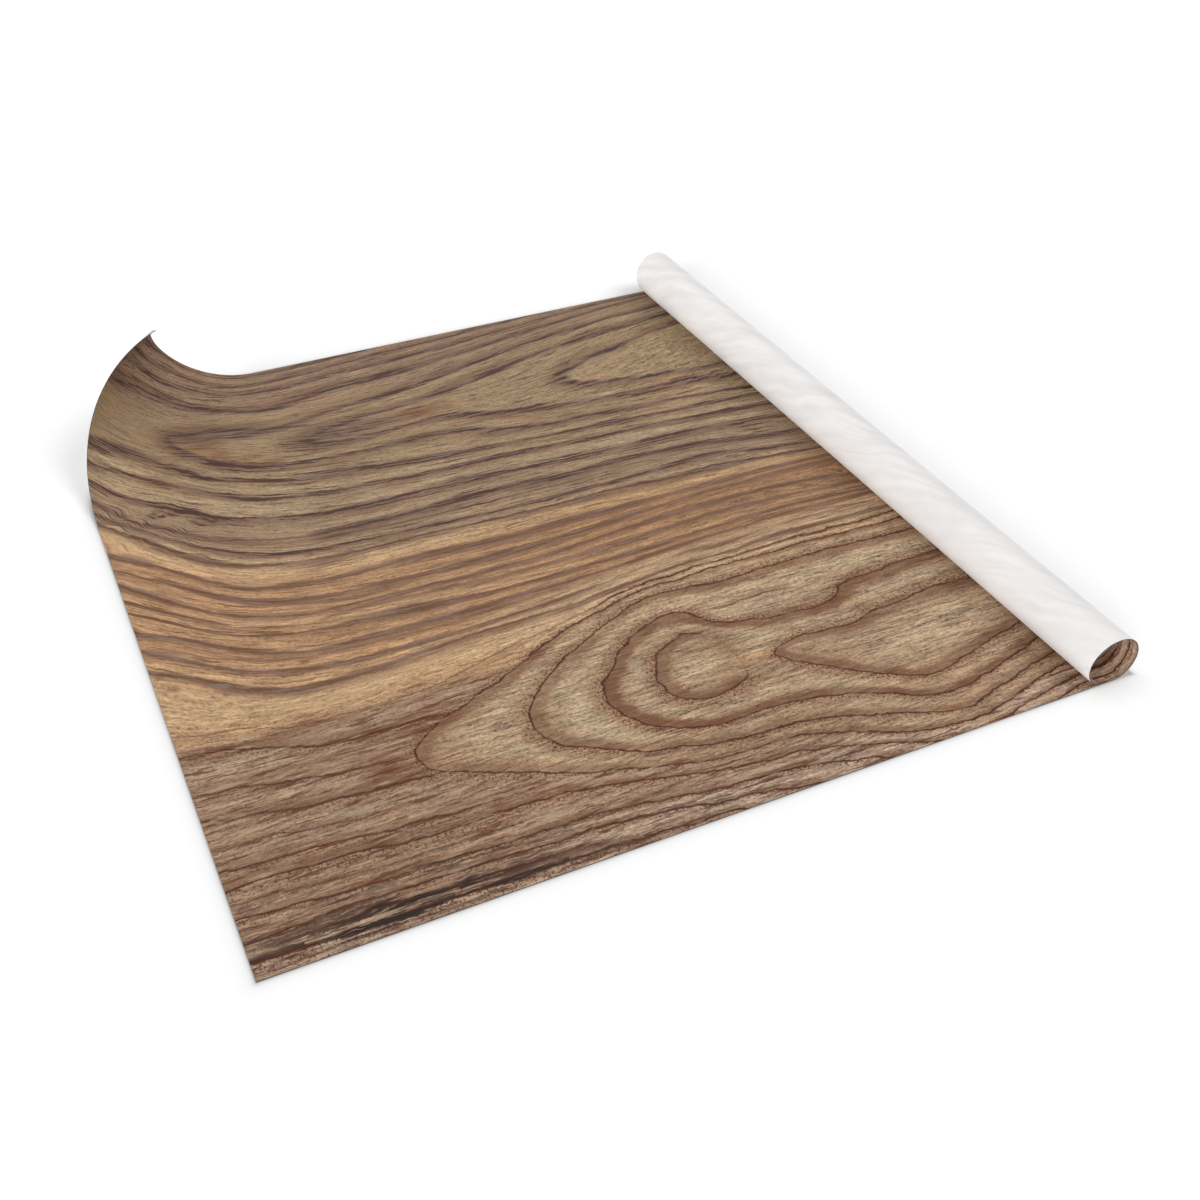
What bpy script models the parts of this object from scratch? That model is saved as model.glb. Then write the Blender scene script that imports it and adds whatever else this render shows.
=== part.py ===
"""Wood veneer sheet, lying flat with one end rolled up and one corner curled over.

Metres, +Z up. The grain runs along +X, from the straight cut end to the rolled end.
+Y runs across the sheet, and the corner that curls up is at the cut end on the +Y side.
The origin is on the floor under the middle of the box that the sheet fills.

The sheet starts as the flat rectangle that it was cut to, with its wood face on top. It
is creased by straight lines, and then bent about them without being stretched: up and
over into an open roll at one end, and up about a slanting line at one corner.
"""

import math
from typing import NamedTuple

import bmesh
import bpy
from mathutils import Vector

# Sheet
SHEET_WIDTH = 0.610
SHEET_THICKNESS = 0.0006

# Length of the front edge that lies on the floor, up to where the roll lifts off
LYING_LENGTH = 0.531

# Roll: its section rises, goes over the top, and falls until the free edge comes down at
# a slope, to this gap above the wood face. The rise and the top take up these lengths of
# the sheet. The section goes evenly from that of the front end to that of the back end,
# and the radii are those of the outer face.
RISE_STRETCH = 0.0435
TOP_STRETCH = 0.0245
FRONT_RISE_RADIUS = 0.0160
FRONT_TOP_RADIUS = 0.0205
FRONT_LANDING_SLOPE = math.radians(23)
BACK_RISE_RADIUS = 0.0181
BACK_TOP_RADIUS = 0.0170
BACK_LANDING_SLOPE = math.radians(41)
FREE_EDGE_GAP = 0.0003

# Curled corner: how much of the cut end and of the long side it takes up, and the
# radius of its outer face
CURL_ON_END = 0.190
CURL_ON_SIDE = 0.1565
CURL_RADIUS = 0.045

# Largest turn from one flat strip of a bend to the next, the number of lengths that the
# roll is parted into across the sheet, and the turn past which an edge is shaded sharp
STRIP_TURN = math.radians(6)
ROLL_PARTS = 4
SHARP_TURN = math.radians(40)

# Distance within which a crease takes a point that is already there
CREASE_SNAP = 1e-7

WOOD_COLOUR = (0.262, 0.168, 0.100, 1.0)
WOOD_ROUGHNESS = 0.55
BACKING_COLOUR = (0.760, 0.745, 0.730, 1.0)
BACKING_ROUGHNESS = 0.75

# The middle of the thickness keeps its length in a bend
NEUTRAL_DEPTH = SHEET_THICKNESS / 2
FREE_EDGE_HEIGHT = SHEET_THICKNESS + FREE_EDGE_GAP

# Curl's line, on which the corner lifts off, and the stretch of sheet beyond it
CURL_LINE_START = Vector((0.0, SHEET_WIDTH - CURL_ON_END, 0.0))
CURL_LINE_END = Vector((CURL_ON_SIDE, SHEET_WIDTH, 0.0))
CURL_ALONG = (CURL_LINE_END - CURL_LINE_START).normalized()
CURL_ACROSS = Vector((-CURL_ALONG.y, CURL_ALONG.x, 0.0))
CURL_STRETCH = (Vector((0.0, SHEET_WIDTH, 0.0)) - CURL_LINE_START).dot(CURL_ACROSS)
CURL_TURN = CURL_STRETCH / (CURL_RADIUS - NEUTRAL_DEPTH)


class Arc(NamedTuple):
    """One arc of the roll's section.

    It starts at a distance along the flat sheet, where the sheet has already made a turn.
    The centre and the radius are those of the sheet's outer face.
    """

    start: float
    turn: float
    centre: Vector
    radius: float


class Section(NamedTuple):
    """The roll's section at one end, with the distance along the sheet of its free edge."""

    arcs: list
    end: float


class Roll(NamedTuple):
    front: Section
    back: Section


def outwards(turn):
    """Direction, in a section, out of the outer face where the sheet has made a turn."""
    return Vector((math.sin(turn), 0.0, -math.cos(turn)))


def next_arc(arc, stretch, radius):
    """The arc that goes on in line with one that has taken up its stretch of sheet."""
    turn = arc.turn + stretch / (arc.radius - NEUTRAL_DEPTH)
    centre = arc.centre + (arc.radius - radius) * outwards(turn)
    return Arc(arc.start + stretch, turn, centre, radius)


def section_from(lift_off, rise_radius, top_radius, landing_slope):
    """The section whose sheet lifts off the floor at this distance along it."""
    rise = Arc(lift_off, 0.0, Vector((lift_off, 0.0, rise_radius)), rise_radius)
    top = next_arc(rise, RISE_STRETCH, top_radius)
    top_end_turn = top.turn + TOP_STRETCH / (top_radius - NEUTRAL_DEPTH)
    top_end_height = top.centre.z + top_radius * outwards(top_end_turn).z
    drop = top_end_height - FREE_EDGE_HEIGHT
    fall_radius = drop / (math.cos(landing_slope) + outwards(top_end_turn).z)
    fall = next_arc(top, TOP_STRETCH, fall_radius)
    fall_turn = math.tau - landing_slope - fall.turn
    return Section([rise, top, fall], fall.start + fall_turn * (fall_radius - NEUTRAL_DEPTH))


def plan_roll():
    """The sheet is cut square, so the back end lifts off where its length asks for it."""
    front_sizes = (FRONT_RISE_RADIUS, FRONT_TOP_RADIUS, FRONT_LANDING_SLOPE)
    back_sizes = (BACK_RISE_RADIUS, BACK_TOP_RADIUS, BACK_LANDING_SLOPE)
    front = section_from(LYING_LENGTH, *front_sizes)
    rolled_at_back = section_from(0.0, *back_sizes).end
    back = section_from(front.end - rolled_at_back, *back_sizes)
    return Roll(front, back)


def clear_scene():
    for thing in list(bpy.data.objects):
        bpy.data.objects.remove(thing, do_unlink=True)


def plain_material(name, colour, roughness):
    material = bpy.data.materials.new(name)
    material.use_nodes = True
    shader = material.node_tree.nodes["Principled BSDF"]
    shader.inputs["Base Color"].default_value = colour
    shader.inputs["Roughness"].default_value = roughness
    shader.inputs["Metallic"].default_value = 0.0
    material.diffuse_color = colour
    return material


def strip_places(start, stretch, turn):
    """Distances of the lines that part a bend into flat strips, its first line included."""
    count = math.ceil(turn / STRIP_TURN)
    return [start + stretch * i / count for i in range(count)]


def flat_blank(length):
    """The sheet as it was cut, as a thin box with its underside on the floor."""
    blank = bmesh.new()
    size = Vector((length, SHEET_WIDTH, SHEET_THICKNESS))
    bmesh.ops.create_cube(blank, size=1.0)
    bmesh.ops.scale(blank, vec=size, verts=blank.verts)
    bmesh.ops.translate(blank, vec=size / 2, verts=blank.verts)
    return blank


def crease(blank, faces, point, across):
    """Cuts edges into these faces of the blank along the upright plane through point."""
    edges = {edge for face in faces for edge in face.edges}
    vertices = {vertex for face in faces for vertex in face.verts}
    bmesh.ops.bisect_plane(
        blank,
        geom=list(vertices) + list(edges) + list(faces),
        dist=CREASE_SNAP,
        plane_co=point,
        plane_no=across,
    )


def crease_roll(blank, roll):
    lift_off = min(roll.front.arcs[0].start, roll.back.arcs[0].start)
    rolled_length = roll.front.end - lift_off
    tightest = min(arc.radius for arc in roll.front.arcs + roll.back.arcs)
    most_turn = rolled_length / (tightest - NEUTRAL_DEPTH)
    for distance in strip_places(lift_off, rolled_length, most_turn):
        crease(blank, blank.faces, Vector((distance, 0.0, 0.0)), Vector((1.0, 0.0, 0.0)))
    for i in range(1, ROLL_PARTS):
        faces = [f for f in blank.faces if f.calc_center_median().x > lift_off]
        place = Vector((0.0, SHEET_WIDTH * i / ROLL_PARTS, 0.0))
        crease(blank, faces, place, Vector((0.0, 1.0, 0.0)))


def crease_curl(blank):
    for distance in strip_places(0.0, CURL_STRETCH, CURL_TURN):
        place = CURL_LINE_START + CURL_ACROSS * distance
        crease(blank, blank.faces, place, CURL_ACROSS)


def rolled_in(section, point):
    """Place of a point of the blank in one section of the roll, at the point's own Y."""
    reached = [arc for arc in section.arcs if arc.start < point.x]
    if not reached:
        return point.copy()
    arc = reached[-1]
    turn = arc.turn + (point.x - arc.start) / (arc.radius - NEUTRAL_DEPTH)
    place = arc.centre + (arc.radius - point.z) * outwards(turn)
    place.y = point.y
    return place


def rolled(roll, point):
    """Place in the roll, whose rulings are straight from the front to the back section."""
    front = rolled_in(roll.front, point)
    back = rolled_in(roll.back, point)
    return front.lerp(back, point.y / SHEET_WIDTH)


def curled(point, distance):
    """Place of a point of the blank that lies this far beyond the curl's line."""
    angle = distance / (CURL_RADIUS - NEUTRAL_DEPTH)
    radius = CURL_RADIUS - point.z
    on_line = Vector((point.x, point.y, 0.0)) - CURL_ACROSS * distance
    place = on_line + CURL_ACROSS * (radius * math.sin(angle))
    place.z = CURL_RADIUS - radius * math.cos(angle)
    return place


def bent(roll, point):
    beyond_curl_line = (point - CURL_LINE_START).dot(CURL_ACROSS)
    if beyond_curl_line > 0.0:
        return curled(point, beyond_curl_line)
    return rolled(roll, point)


def is_wood_face(face):
    """Whether a face of the flat blank is on the wood side."""
    return face.normal.z > 0.5


def build_sheet():
    roll = plan_roll()
    blank = flat_blank(roll.front.end)
    crease_roll(blank, roll)
    crease_curl(blank)
    blank.normal_update()
    wood_slot, backing_slot = 0, 1
    for face in blank.faces:
        face.material_index = wood_slot if is_wood_face(face) else backing_slot
    rises = (roll.front.arcs[0], roll.back.arcs[0])
    box_length = max(rise.centre.x + rise.radius for rise in rises)
    to_origin = Vector((-box_length / 2, -SHEET_WIDTH / 2, 0.0))
    for vertex in blank.verts:
        vertex.co = bent(roll, vertex.co) + to_origin
    bmesh.ops.triangulate(blank, faces=blank.faces, quad_method="SHORT_EDGE")
    blank.normal_update()

    mesh = bpy.data.meshes.new("veneer_sheet")
    blank.to_mesh(mesh)
    blank.free()
    mesh.materials.append(plain_material("wood_face", WOOD_COLOUR, WOOD_ROUGHNESS))
    mesh.materials.append(plain_material("paper_backing", BACKING_COLOUR, BACKING_ROUGHNESS))
    mesh.shade_smooth()
    mesh.set_sharp_from_angle(angle=SHARP_TURN)
    sheet = bpy.data.objects.new("veneer_sheet", mesh)
    bpy.context.scene.collection.objects.link(sheet)
    return sheet


clear_scene()
build_sheet()
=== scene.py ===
"""Looks of a wood veneer sheet that lies flat, with one end rolled up and a corner curled.

Metres, +Z up. The grain runs along +X, from the straight cut end to the rolled end, and
+Y runs across the sheet. A place on the flat sheet, as it was cut, is told by how far
along the grain it is from the cut end, and how far across from the front edge.

The sheet is a thin leaf of wood on a white paper backing. Both are made flat by one tree
of geometry nodes, and bent by it about straight lines without being stretched.

The wood's figure comes from its growth rings. Each ring is a line of one level, and a
smooth level that passes through them all is worked out for every place on the leaf. The
wood's material draws a dark line wherever that level is a whole number.
"""

import math
from typing import NamedTuple

import bpy
import numpy as np
from mathutils import Matrix, Vector


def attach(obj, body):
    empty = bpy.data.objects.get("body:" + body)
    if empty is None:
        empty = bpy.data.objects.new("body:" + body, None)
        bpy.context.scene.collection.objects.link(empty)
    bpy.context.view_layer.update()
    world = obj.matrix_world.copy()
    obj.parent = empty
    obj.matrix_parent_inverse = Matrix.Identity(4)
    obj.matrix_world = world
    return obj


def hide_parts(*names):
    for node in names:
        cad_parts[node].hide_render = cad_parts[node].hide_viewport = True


# Sheet as it was cut and bent
SHEET_WIDTH = 0.610
SHEET_THICKNESS = 0.0006
NEUTRAL_DEPTH = SHEET_THICKNESS / 2
BACKING_THICKNESS = 0.00024
GLUE_DEPTH = 0.00001

# Roll, whose section rises, goes over the top and falls to the free edge. It goes evenly
# from the section of the front end to that of the back end.
FRONT_LIFT_OFF = 0.531
RISE_STRETCH = 0.0435
TOP_STRETCH = 0.0245
FRONT_RISE_RADIUS = 0.0160
FRONT_TOP_RADIUS = 0.0205
FRONT_LANDING_SLOPE = math.radians(23)
BACK_RISE_RADIUS = 0.0181
BACK_TOP_RADIUS = 0.0170
BACK_LANDING_SLOPE = math.radians(41)
FREE_EDGE_HEIGHT = SHEET_THICKNESS + 0.0003

CURL_ON_END = 0.190
CURL_ON_SIDE = 0.1565
CURL_RADIUS = 0.045
CURL_START = Vector((0.0, SHEET_WIDTH - CURL_ON_END, 0.0))
CURL_ALONG = (Vector((CURL_ON_SIDE, SHEET_WIDTH, 0.0)) - CURL_START).normalized()
CURL_ACROSS = Vector((-CURL_ALONG.y, CURL_ALONG.x, 0.0))

# Columns of cells along the lying and the rolled part, rows across, and the turn past
# which an edge is shaded sharp
LYING_CELLS = 132
ROLLED_CELLS = 56
LEAF_ROWS = 244
BACKING_ROWS = 122
SHARP_TURN = math.radians(50)

# Camera, in the row frame: its place, its turn towards +X, its tilt down and its roll
CAMERA_PLACE = Vector((-0.3142, -0.7880, 0.5794))
CAMERA_YAW = 0.4384
CAMERA_TILT = 0.6495
CAMERA_ROLL = 0.0022
CAMERA_LENS_MM = 43.785
SENSOR_MM = 36.0

# Growth rings as read off the wood, each with its level, how dark it is, and its points.
# A point is in half millimetres, along the grain from the cut end, and across from the
# back edge. Levels rise towards the back, into the pointed eyes there, and again from the
# rings round the knot towards the front edge.
HALF_MM = 0.0005
RINGS = (
    # Along the back edge
    (18, 0.8, (
        (0, 42), (50, 30), (110, 32), (177, 25), (267, 33), (300, 45), (367, 40), (433, 32),
        (522, 28), (622, 17), (735, 8), (800, 2), (900, -8), (1032, -12),
    )),
    (19, 0.9, (
        (0, 62), (67, 50), (123, 52), (200, 45), (247, 53), (293, 72), (350, 70), (400, 63),
        (522, 56), (622, 50), (722, 35), (822, 23), (922, 13), (1032, 10),
    )),
    (20, 0.9, (
        (0, 98), (50, 88), (100, 80), (167, 84), (220, 92), (260, 117), (293, 130), (333, 123),
        (417, 108), (522, 102), (622, 86), (722, 65), (822, 50), (889, 37), (1032, 23),
    )),
    # Pointed eyes, which open towards the roll
    (21, 0.9, (
        (1032, 63), (939, 70), (855, 80), (755, 97), (689, 113), (622, 132), (522, 158),
        (433, 170), (350, 182), (293, 194), (233, 170), (167, 151), (128, 155), (136, 170),
        (157, 207), (187, 247), (227, 280), (267, 300), (293, 310), (350, 310), (433, 313),
        (522, 310), (572, 327), (622, 347), (689, 360), (755, 362), (822, 367), (905, 372),
        (972, 380), (1032, 390),
    )),
    (22, 0.8, (
        (1032, 97), (922, 108), (822, 125), (739, 145), (655, 172), (589, 192), (522, 207),
        (433, 213), (367, 230), (322, 245), (350, 265), (400, 277), (480, 270), (560, 262),
        (622, 290), (700, 310), (800, 327), (922, 327), (989, 333), (1032, 347),
    )),
    (23, 0.7, (
        (1032, 138), (989, 147), (922, 163), (839, 188), (795, 208), (770, 224), (758, 240),
        (772, 256), (822, 273), (872, 288), (922, 294), (989, 298), (1032, 299),
    )),
    # Long rings of the back half
    (20, 0.9, (
        (0, 197), (57, 187), (100, 200), (133, 243), (167, 293), (217, 320), (283, 353),
        (350, 350), (433, 370), (522, 379), (622, 388), (755, 397), (855, 402), (955, 407),
        (1032, 413),
    )),
    (19, 0.9, (
        (0, 235), (33, 230), (77, 243), (110, 273), (150, 320), (187, 357), (233, 383),
        (300, 400), (400, 410), (522, 414), (622, 417), (689, 423), (755, 430), (855, 432),
        (955, 442), (1032, 452),
    )),
    (18, 1.0, (
        (0, 263), (33, 277), (83, 323), (133, 370), (157, 400), (200, 423), (250, 443),
        (317, 457), (400, 458), (522, 457), (589, 462), (655, 467), (755, 470), (822, 470),
        (922, 477), (989, 480), (1032, 492),
    )),
    (17, 0.8, (
        (0, 300), (20, 313), (45, 359), (76, 389), (115, 428), (145, 450), (170, 468),
        (213, 487), (283, 502), (350, 503), (433, 503), (522, 500), (622, 505), (755, 503),
        (822, 507), (889, 517), (955, 530), (1032, 543),
    )),
    (16, 0.8, (
        (0, 322), (30, 353), (48, 377), (73, 410), (97, 437), (121, 465), (145, 483),
        (170, 503), (194, 516), (224, 528), (283, 537), (400, 547), (522, 552), (622, 552),
        (755, 552), (805, 548), (855, 543), (889, 550), (955, 567), (1032, 580),
    )),
    (15, 0.8, (
        (0, 345), (39, 393), (58, 416), (76, 447), (97, 471), (121, 501), (145, 522),
        (170, 536), (200, 545), (250, 560), (317, 563), (400, 563), (522, 572), (655, 573),
        (722, 573), (789, 578), (889, 582), (955, 588), (1032, 600),
    )),
    (14, 1.0, (
        (0, 427), (43, 467), (93, 523), (133, 567), (173, 593), (233, 608), (283, 612),
        (360, 607), (433, 613), (522, 617), (622, 617), (722, 618), (822, 618), (922, 618),
        (1032, 622),
    )),
    (13, 0.8, (
        (0, 467), (50, 513), (117, 587), (167, 623), (233, 643), (317, 650), (400, 650),
        (522, 653), (589, 652), (655, 645), (722, 640), (789, 635), (922, 635), (1032, 635),
    )),
    (12, 0.8, (
        (0, 500), (67, 583), (127, 640), (173, 660), (217, 673), (283, 677), (400, 680),
        (522, 684), (555, 680), (622, 675), (689, 668), (755, 662), (822, 662), (922, 667),
        (989, 675), (1032, 685),
    )),
    (11, 0.5, (
        (260, 685), (333, 688), (417, 698), (522, 703), (622, 698), (722, 693), (822, 688),
        (889, 690), (955, 697), (1032, 703),
    )),
    (10, 1.0, (
        (0, 570), (50, 617), (100, 667), (150, 693), (200, 707), (283, 713), (350, 718),
        (433, 727), (522, 728), (655, 728), (722, 723), (822, 717), (889, 715), (955, 718),
        (1032, 725),
    )),
    (9, 0.8, (
        (0, 620), (50, 653), (100, 700), (150, 733), (200, 748), (283, 752), (400, 753),
        (522, 751), (589, 748), (655, 743), (722, 738), (822, 737), (855, 730), (922, 733),
        (1032, 737),
    )),
    (8, 0.7, (
        (0, 657), (67, 717), (117, 757), (167, 777), (233, 785), (300, 787), (400, 788),
        (522, 780),
    )),
    (7, 0.8, (
        (0, 700), (33, 723), (83, 770), (133, 803), (173, 817), (267, 813), (367, 803),
        (522, 800), (572, 797), (622, 787), (705, 778), (772, 782), (855, 773), (955, 778),
        (1032, 777),
    )),
    (6, 0.3, (
        (0, 830), (67, 850), (123, 870), (167, 883), (283, 880), (333, 870), (400, 850),
        (470, 835), (540, 820),
    )),
    # Round the knot, from the outermost in
    (5, 0.9, (
        (1032, 812), (955, 810), (905, 805), (822, 805), (789, 808), (689, 807), (615, 808),
        (572, 823), (520, 837), (450, 863), (383, 903), (317, 928), (260, 957), (245, 987),
        (253, 1017), (293, 1033), (305, 1045), (333, 1053), (400, 1087), (467, 1107),
        (520, 1127), (540, 1133), (585, 1137), (631, 1139), (667, 1143), (704, 1152),
        (728, 1163), (752, 1175), (782, 1192), (813, 1202), (843, 1208), (861, 1209),
        (894, 1204), (934, 1193), (979, 1181), (1034, 1169),
    )),
    (4, 0.8, (
        (1035, 842), (905, 837), (822, 832), (729, 838), (655, 828), (609, 827), (582, 840),
        (520, 870), (483, 890), (433, 923), (400, 960), (388, 993), (397, 1030), (433, 1057),
        (483, 1087), (520, 1100), (600, 1120), (652, 1118), (685, 1122), (722, 1131),
        (752, 1142), (782, 1157), (813, 1166), (843, 1181), (861, 1187), (888, 1184),
        (934, 1172), (979, 1157), (1034, 1145),
    )),
    (3, 1.1, (
        (1034, 900), (870, 907), (855, 928), (805, 940), (755, 933), (700, 925), (672, 905),
        (655, 873), (639, 865), (589, 880), (555, 903), (522, 933), (490, 970), (486, 1000),
        (497, 1030), (522, 1060), (555, 1079), (599, 1088), (652, 1083), (691, 1087),
        (734, 1096), (770, 1108), (813, 1128), (846, 1149), (876, 1157), (904, 1151),
        (943, 1139), (988, 1128), (1034, 1114),
    )),
    (2, 1.0, (
        (632, 917), (592, 927), (575, 950), (558, 985), (566, 1022), (580, 1038), (599, 1045),
        (632, 1040), (650, 1032),
    )),
    (2, 0.17, ((668, 1012), (674, 985), (668, 950), (655, 928))),
    # Pointed ring between the knot and the roll
    (2, 0.9, (
        (1035, 973), (972, 967), (872, 980), (822, 992), (782, 980), (722, 987), (709, 1003),
        (739, 1030), (775, 1057), (805, 1083), (849, 1113), (879, 1122), (922, 1103),
        (989, 1090), (1035, 1077),
    )),
    # Along the front edge
    (6, 0.8, (
        (0, 1093), (83, 1093), (150, 1100), (226, 1109), (280, 1109), (362, 1108), (408, 1117),
        (453, 1128), (514, 1143), (574, 1159), (631, 1162), (661, 1168), (691, 1178),
        (722, 1186), (752, 1199), (782, 1211), (820, 1224), (870, 1228), (934, 1211),
        (979, 1199), (1034, 1193),
    )),
    (7, 0.8, (
        (0, 1138), (76, 1141), (121, 1147), (151, 1149), (197, 1146), (257, 1153), (303, 1155),
        (348, 1154), (424, 1158), (480, 1168), (540, 1180), (585, 1181), (631, 1187),
        (676, 1193), (710, 1208), (734, 1218), (800, 1240), (870, 1248), (940, 1232),
        (994, 1214), (1034, 1208),
    )),
    (8, 0.8, (
        (0, 1168), (91, 1166), (151, 1169), (242, 1170), (324, 1173), (379, 1175), (424, 1178),
        (480, 1188), (540, 1199), (585, 1208), (616, 1214), (680, 1228),
    )),
    (9, 0.9, (
        (0, 1199), (100, 1199), (200, 1203), (300, 1206), (370, 1207), (450, 1209), (540, 1216),
    )),
)

# Levels in the wide places between rings, where the wood is clear of lines
CLEAR_PLACES = (
    (0, 147, 20.5), (60, 140, 20.55), (0, 120, 20.4), (30, 298, 17.5), (60, 338, 17.5),
    (100, 378, 17.5), (150, 425, 17.5), (200, 455, 17.5), (250, 473, 17.5), (60, 258, 18.5),
    (110, 305, 18.5), (160, 360, 18.5), (220, 402, 18.5), (280, 428, 18.5), (0, 780, 6.5),
    (60, 812, 6.5), (120, 840, 6.5), (180, 852, 6.5), (260, 848, 6.5), (350, 835, 6.4),
    (1032, 215, 23.6), (940, 220, 23.5), (840, 225, 23.3), (620, 980, 1.3), (600, 985, 1.4),
    (900, 1045, 1.5), (1000, 1030, 1.45), (800, 1020, 1.65), (690, 990, 2.35),
    (60, 975, 5.5), (150, 985, 5.35), (210, 990, 5.2), (590, 772, 8.0), (680, 758, 8.0),
    (850, 752, 8.0), (1030, 757, 8.0), (120, 659, 11.0), (200, 690, 11.0), (0, 365, 14.7),
    (0, 385, 14.5), (0, 405, 14.25), (20, 390, 14.75), (40, 425, 14.5),
)

# Lines that begin and end between the rings, from the back to the front, each with its
# half width in metres. A point has how dark the line is there as its third number.
SHORT_LINES = (
    (0.0012, (
        (0, 86, 0.6), (50, 76, 0.6), (100, 68, 0.6), (167, 72, 0.7), (220, 80, 0.7),
        (260, 102, 0.8), (293, 114, 0.8), (333, 111, 0.7), (417, 97, 0.5), (522, 92, 0.4),
        (622, 77, 0.3), (700, 66, 0.0),
    )),
    (0.0012, (
        (0, 209, 0.6), (50, 201, 0.6), (100, 214, 0.5), (133, 257, 0.5), (167, 307, 0.5),
        (217, 334, 0.5), (283, 366, 0.5), (330, 364, 0.4), (380, 372, 0.0),
    )),
    (0.0008, (
        (327, 517, 0.0), (360, 520, 0.6), (520, 525, 0.7), (655, 527, 0.7), (730, 524, 0.6),
        (772, 523, 0.0),
    )),
    (0.0008, (
        (0, 560, 0.6), (50, 606, 0.6), (100, 655, 0.6), (150, 682, 0.6), (200, 696, 0.5),
        (283, 703, 0.4), (350, 709, 0.0),
    )),
    (0.0008, ((855, 737, 0.0), (900, 739, 0.4), (960, 749, 0.6), (1032, 761, 0.6))),
    (0.0005, (
        (0, 850, 0.0), (690, 890, 0.0), (704, 888, 0.6), (762, 883, 0.7), (800, 887, 0.7),
        (815, 890, 0.0),
    )),
    (0.0013, (
        (0, 873, 0.9), (50, 878, 1.0), (100, 897, 1.0), (150, 920, 1.0), (200, 927, 1.0),
        (283, 925, 0.9), (317, 930, 0.3), (335, 935, 0.0),
    )),
    (0.0012, (
        (0, 943, 0.8), (50, 947, 0.8), (110, 963, 0.9), (167, 973, 0.8), (233, 983, 0.6),
        (250, 985, 0.0), (600, 970, 0.0), (840, 962, 0.0), (870, 958, 0.4), (950, 953, 0.5),
        (1035, 950, 0.4),
    )),
    (0.0012, (
        (0, 983, 0.8), (67, 997, 0.8), (133, 1013, 0.9), (200, 1017, 1.0), (250, 1020, 1.0),
        (275, 1027, 0.0),
    )),
    (0.0007, (
        (0, 1033, 0.6), (67, 1037, 0.8), (133, 1047, 0.7), (187, 1055, 0.5), (230, 1058, 0.0),
    )),
    (0.0010, (
        (0, 1067, 0.9), (67, 1067, 0.9), (150, 1080, 0.9), (267, 1087, 0.9), (350, 1092, 0.5),
        (385, 1095, 0.0),
    )),
    (0.0006, (
        (0, 1114, 0.5), (54, 1118, 0.6), (100, 1124, 0.6), (136, 1128, 0.6), (212, 1132, 0.5),
        (303, 1134, 0.3), (360, 1136, 0.0),
    )),
    (0.0022, (
        (0, 1178, 0.3), (40, 1181, 0.6), (100, 1183, 1.2), (150, 1184, 1.7), (233, 1188, 1.6),
        (303, 1191, 1.0), (380, 1196, 0.4), (424, 1200, 0.0),
    )),
    (0.0020, (
        (0, 1197, 1.2), (50, 1198, 1.5), (100, 1200, 1.8), (200, 1202, 1.6), (300, 1205, 1.5),
        (367, 1207, 1.3), (450, 1210, 0.5), (520, 1213, 0.0),
    )),
)

# Soft patches, each with its place, its half lengths along and across, and how much
# browner the wood is there, or with a minus how much paler
PATCHES = (
    (180, 198, 28, 18, 0.7), (200, 232, 20, 22, 0.7), (228, 262, 28, 14, 0.7),
    (262, 286, 34, 10, 0.8), (420, 240, 70, 18, 0.3), (515, 238, 48, 20, 0.9),
    (480, 312, 90, 10, 0.4), (190, 175, 50, 20, 0.4),
    (150, 940, 110, 12, 0.45), (120, 1000, 120, 10, 0.35), (215, 990, 36, 30, 0.8),
    (90, 882, 110, 8, 0.8), (235, 924, 60, 9, 0.9), (268, 944, 28, 14, 0.8),
    (325, 912, 36, 9, 0.7), (395, 886, 40, 8, 0.6),
    (510, 1033, 30, 60, 0.25), (800, 938, 50, 12, 0.7),
    (700, 925, 60, 10, 0.4), (450, 1000, 18, 50, -0.9), (425, 950, 25, 40, -0.4),
    (490, 1060, 30, 18, -0.6), (90, 905, 70, 14, -0.4), (860, 862, 150, 14, -0.4),
    (950, 930, 90, 10, -0.5),
)

# Patches with dark streaks, told in the same way
STREAKED = (
    (170, 1192, 330, 32, 1.0), (120, 1150, 150, 25, 0.4), (560, 1190, 200, 20, 0.45),
    (390, 245, 75, 22, 1.0), (160, 158, 40, 16, 1.0), (225, 180, 48, 14, 1.0),
    (300, 196, 60, 10, 0.8), (120, 1090, 160, 50, 0.25),
)

# Columns and rows where the grain runs straight, in the front part and at its cut end
STRAIGHT_GRAIN = (
    ((300, 430, 560, 690, 820, 950, 1080), (900, 980, 1060, 1140, 1220)),
    ((0, 100, 200), (960, 1010, 1060, 1140, 1220)),
)

# The grain elsewhere follows the rings of these levels that start at the cut end, behind
# this row, and reach this column
GRAIN_LEVELS = range(7, 21)
GRAIN_RINGS_END = 1100
GRAIN_COLUMN = 522


class Value:
    """A socket of a node tree, on which Python's operators add Math nodes."""

    def __init__(self, tree, socket):
        self.tree = tree
        self.socket = socket

    def math(self, operation, *others):
        return self.tree.number(operation, self, *others)

    def __add__(self, other):
        return self.math("ADD", other)

    def __sub__(self, other):
        return self.math("SUBTRACT", other)

    def __rsub__(self, other):
        return self.tree.number("SUBTRACT", other, self)

    def __mul__(self, other):
        return self.math("MULTIPLY", other)

    def __truediv__(self, other):
        return self.math("DIVIDE", other)

    def __neg__(self):
        return self * -1.0

    __radd__ = __add__
    __rmul__ = __mul__

    def at_least(self, bound):
        return self.math("MAXIMUM", bound)

    def at_most(self, bound):
        return self.math("MINIMUM", bound)


class Made:
    """A node that was just added, whose outputs are asked for by name or number."""

    def __init__(self, tree, node):
        self.tree = tree
        self.node = node

    def value(self, output=0):
        return Value(self.tree, self.node.outputs[output])


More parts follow.
